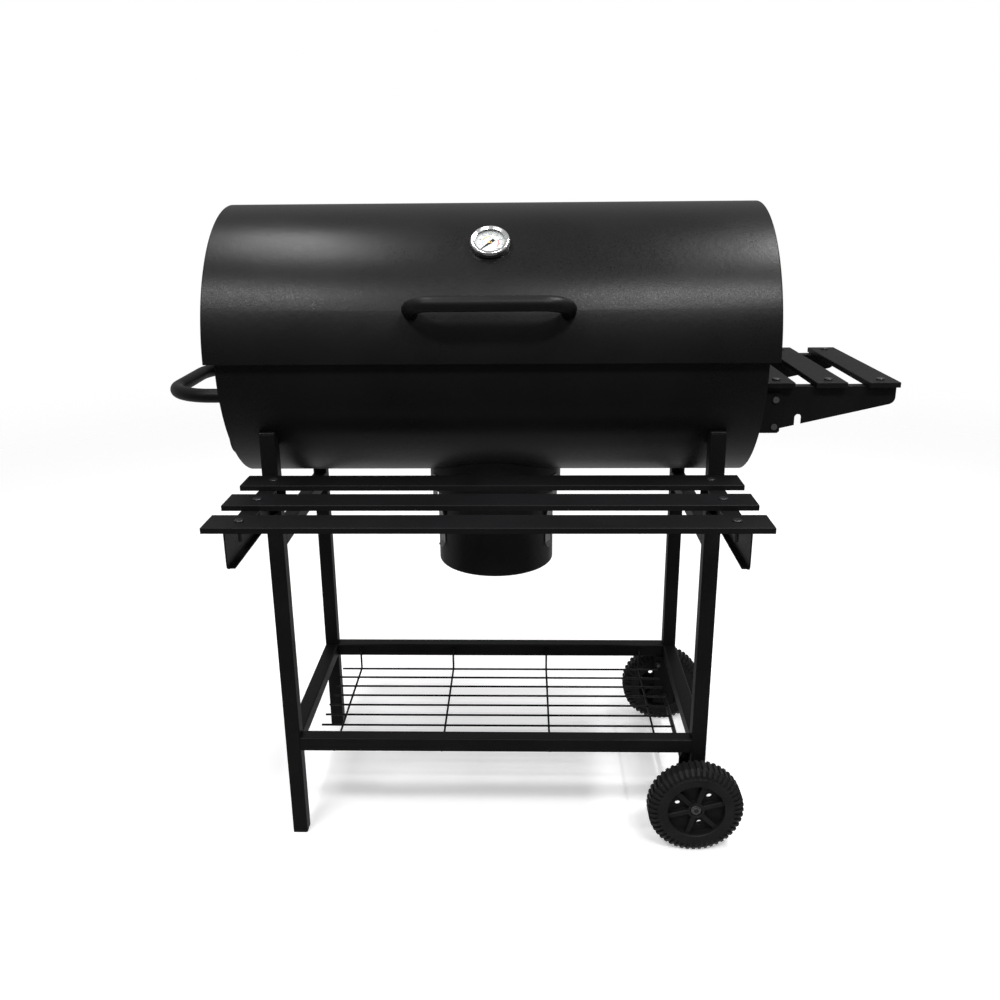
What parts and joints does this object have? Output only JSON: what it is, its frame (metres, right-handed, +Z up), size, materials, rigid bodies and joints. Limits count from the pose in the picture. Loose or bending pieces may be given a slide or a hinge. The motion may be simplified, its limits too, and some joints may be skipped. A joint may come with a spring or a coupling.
{
  "type": "barrel charcoal grill",
  "caption": "Barrel charcoal grill with a hinged lid and lid thermometer on a tube frame, with slatted front shelf and side table, ash can, wire rack and wheels.",
  "frame": {"origin": "on the floor, under the middle of the whole grill's outline seen from above", "axes": "+X to the side table and wheels, +Y to the lid's hinges at the rear, +Z up; the lid handle and thermometer face -Y"},
  "size_m": [1.1375, 0.6638, 1.0475],
  "materials": {
    "frame_coat": "semi-matt black powder coat",
    "black_coat": "semi-matt black powder coat",
    "barrel_coat": "matt black heat-resistant powder coat, fine grain",
    "slat_coat": "fine matt black coat",
    "plastic": "moulded black plastic",
    "wheel_plastic": "moulded black plastic, lightly textured",
    "zinc": "dull zinc plate",
    "dark_screw": "black-coated steel screw",
    "wire_coat": "black-coated wire",
    "grate_enamel": "semi-gloss black enamel",
    "bezel_chrome": "polished, lightly worn",
    "dial_face": "satin white print on metal",
    "needle_black": "satin black",
    "lens_glass": "clear flat glass"
  },
  "bodies": {
    "frame": {"ash_clip_rivets": "zinc", "ash_clips": "zinc", "ash_collar": "barrel_coat", "axle": "dark_screw", "axle_bracket_bolts": "zinc", "axle_brackets": "frame_coat", "axle_nuts": "zinc", "axle_washers": "zinc", "bowl_end_left": "barrel_coat", "bowl_end_right": "barrel_coat", "bowl_shell": "barrel_coat", "grate_rests": "barrel_coat", "hex_nuts": "dark_screw", "hinge_bowl_leaves": "black_coat", "hinge_pins": "zinc", "leg_caps": "plastic", "leg_front_left": "frame_coat", "leg_front_right": "frame_coat", "leg_rear_left": "frame_coat", "leg_rear_right": "frame_coat", "lower_rail_front": "frame_coat", "lower_rail_left": "frame_coat", "lower_rail_rear": "frame_coat", "lower_rail_right": "frame_coat", "shelf_bolts": "dark_screw", "shelf_bracket_left": "black_coat", "shelf_bracket_right": "black_coat", "shelf_slat_1": "slat_coat", "shelf_slat_2": "slat_coat", "shelf_slat_3": "slat_coat", "side_handle": "black_coat", "side_handle_screws": "zinc", "table_arm_front": "black_coat", "table_arm_rear": "black_coat", "table_bolts": "zinc", "table_mounts": "black_coat", "table_slat_bolts": "dark_screw", "table_slats": "slat_coat", "upper_brace_left": "frame_coat", "upper_brace_right": "frame_coat", "vent_pivot": "zinc", "wire_rack": "wire_coat"},
    "lid": {"lid_shell": "barrel_coat", "lid_end_left": "barrel_coat", "lid_end_right": "barrel_coat", "lid_handle": "black_coat", "lid_handle_screws": "zinc", "hinge_lid_leaves": "black_coat", "thermometer_case": "bezel_chrome", "thermometer_dial": "dial_face", "thermometer_lens": "lens_glass", "thermometer_nut": "zinc"},
    "needle": {"thermometer_needle": "needle_black"},
    "front_wheel": {"wheel_front": "wheel_plastic"},
    "rear_wheel": {"wheel_rear": "wheel_plastic"},
    "damper": {"vent_damper": "black_coat"},
    "can": {"ash_can": "barrel_coat"},
    "left_grate": {"cooking_grate_left": "grate_enamel"},
    "right_grate": {"cooking_grate_right": "grate_enamel"},
    "coal_grate": {"charcoal_grate": "grate_enamel"}
  },
  "joints": [
    {"name": "lid_hinge", "type": "hinge", "parent": "frame", "child": "lid", "pos_m": [-0.04375, 0.3269, 0.827], "axis": [-1, 0, 0], "range_deg": [0, 100]},
    {"name": "needle_turn", "type": "hinge", "parent": "lid", "child": "needle", "pos_m": [-0.04375, -0.04982, 0.99466], "axis": [0, 0.6626, -0.749], "range_deg": [0, 270]},
    {"name": "front_wheel_spin", "type": "hinge", "parent": "frame", "child": "front_wheel", "pos_m": [0.29225, -0.1121, 0.0795], "axis": [0, 1, 0], "continuous": true},
    {"name": "rear_wheel_spin", "type": "hinge", "parent": "frame", "child": "rear_wheel", "pos_m": [0.29225, 0.3109, 0.0795], "axis": [0, 1, 0], "continuous": true},
    {"name": "damper_turn", "type": "hinge", "parent": "frame", "child": "damper", "pos_m": [-0.44975, -0.01727, 0.70933], "axis": [1, 0, 0], "range_deg": [0, 60]},
    {"name": "can_slide", "type": "slide", "parent": "frame", "child": "can", "axis": [0, 0, -1], "range_m": [0, 0.16]},
    {"name": "left_grate_lift", "type": "slide", "parent": "frame", "child": "left_grate", "axis": [0, 0, 1], "range_m": [0, 0.08]},
    {"name": "right_grate_lift", "type": "slide", "parent": "frame", "child": "right_grate", "axis": [0, 0, 1], "range_m": [0, 0.08]},
    {"name": "coal_grate_lift", "type": "slide", "parent": "frame", "child": "coal_grate", "axis": [0, 0, 1], "range_m": [0, 0.06]}
  ]
}
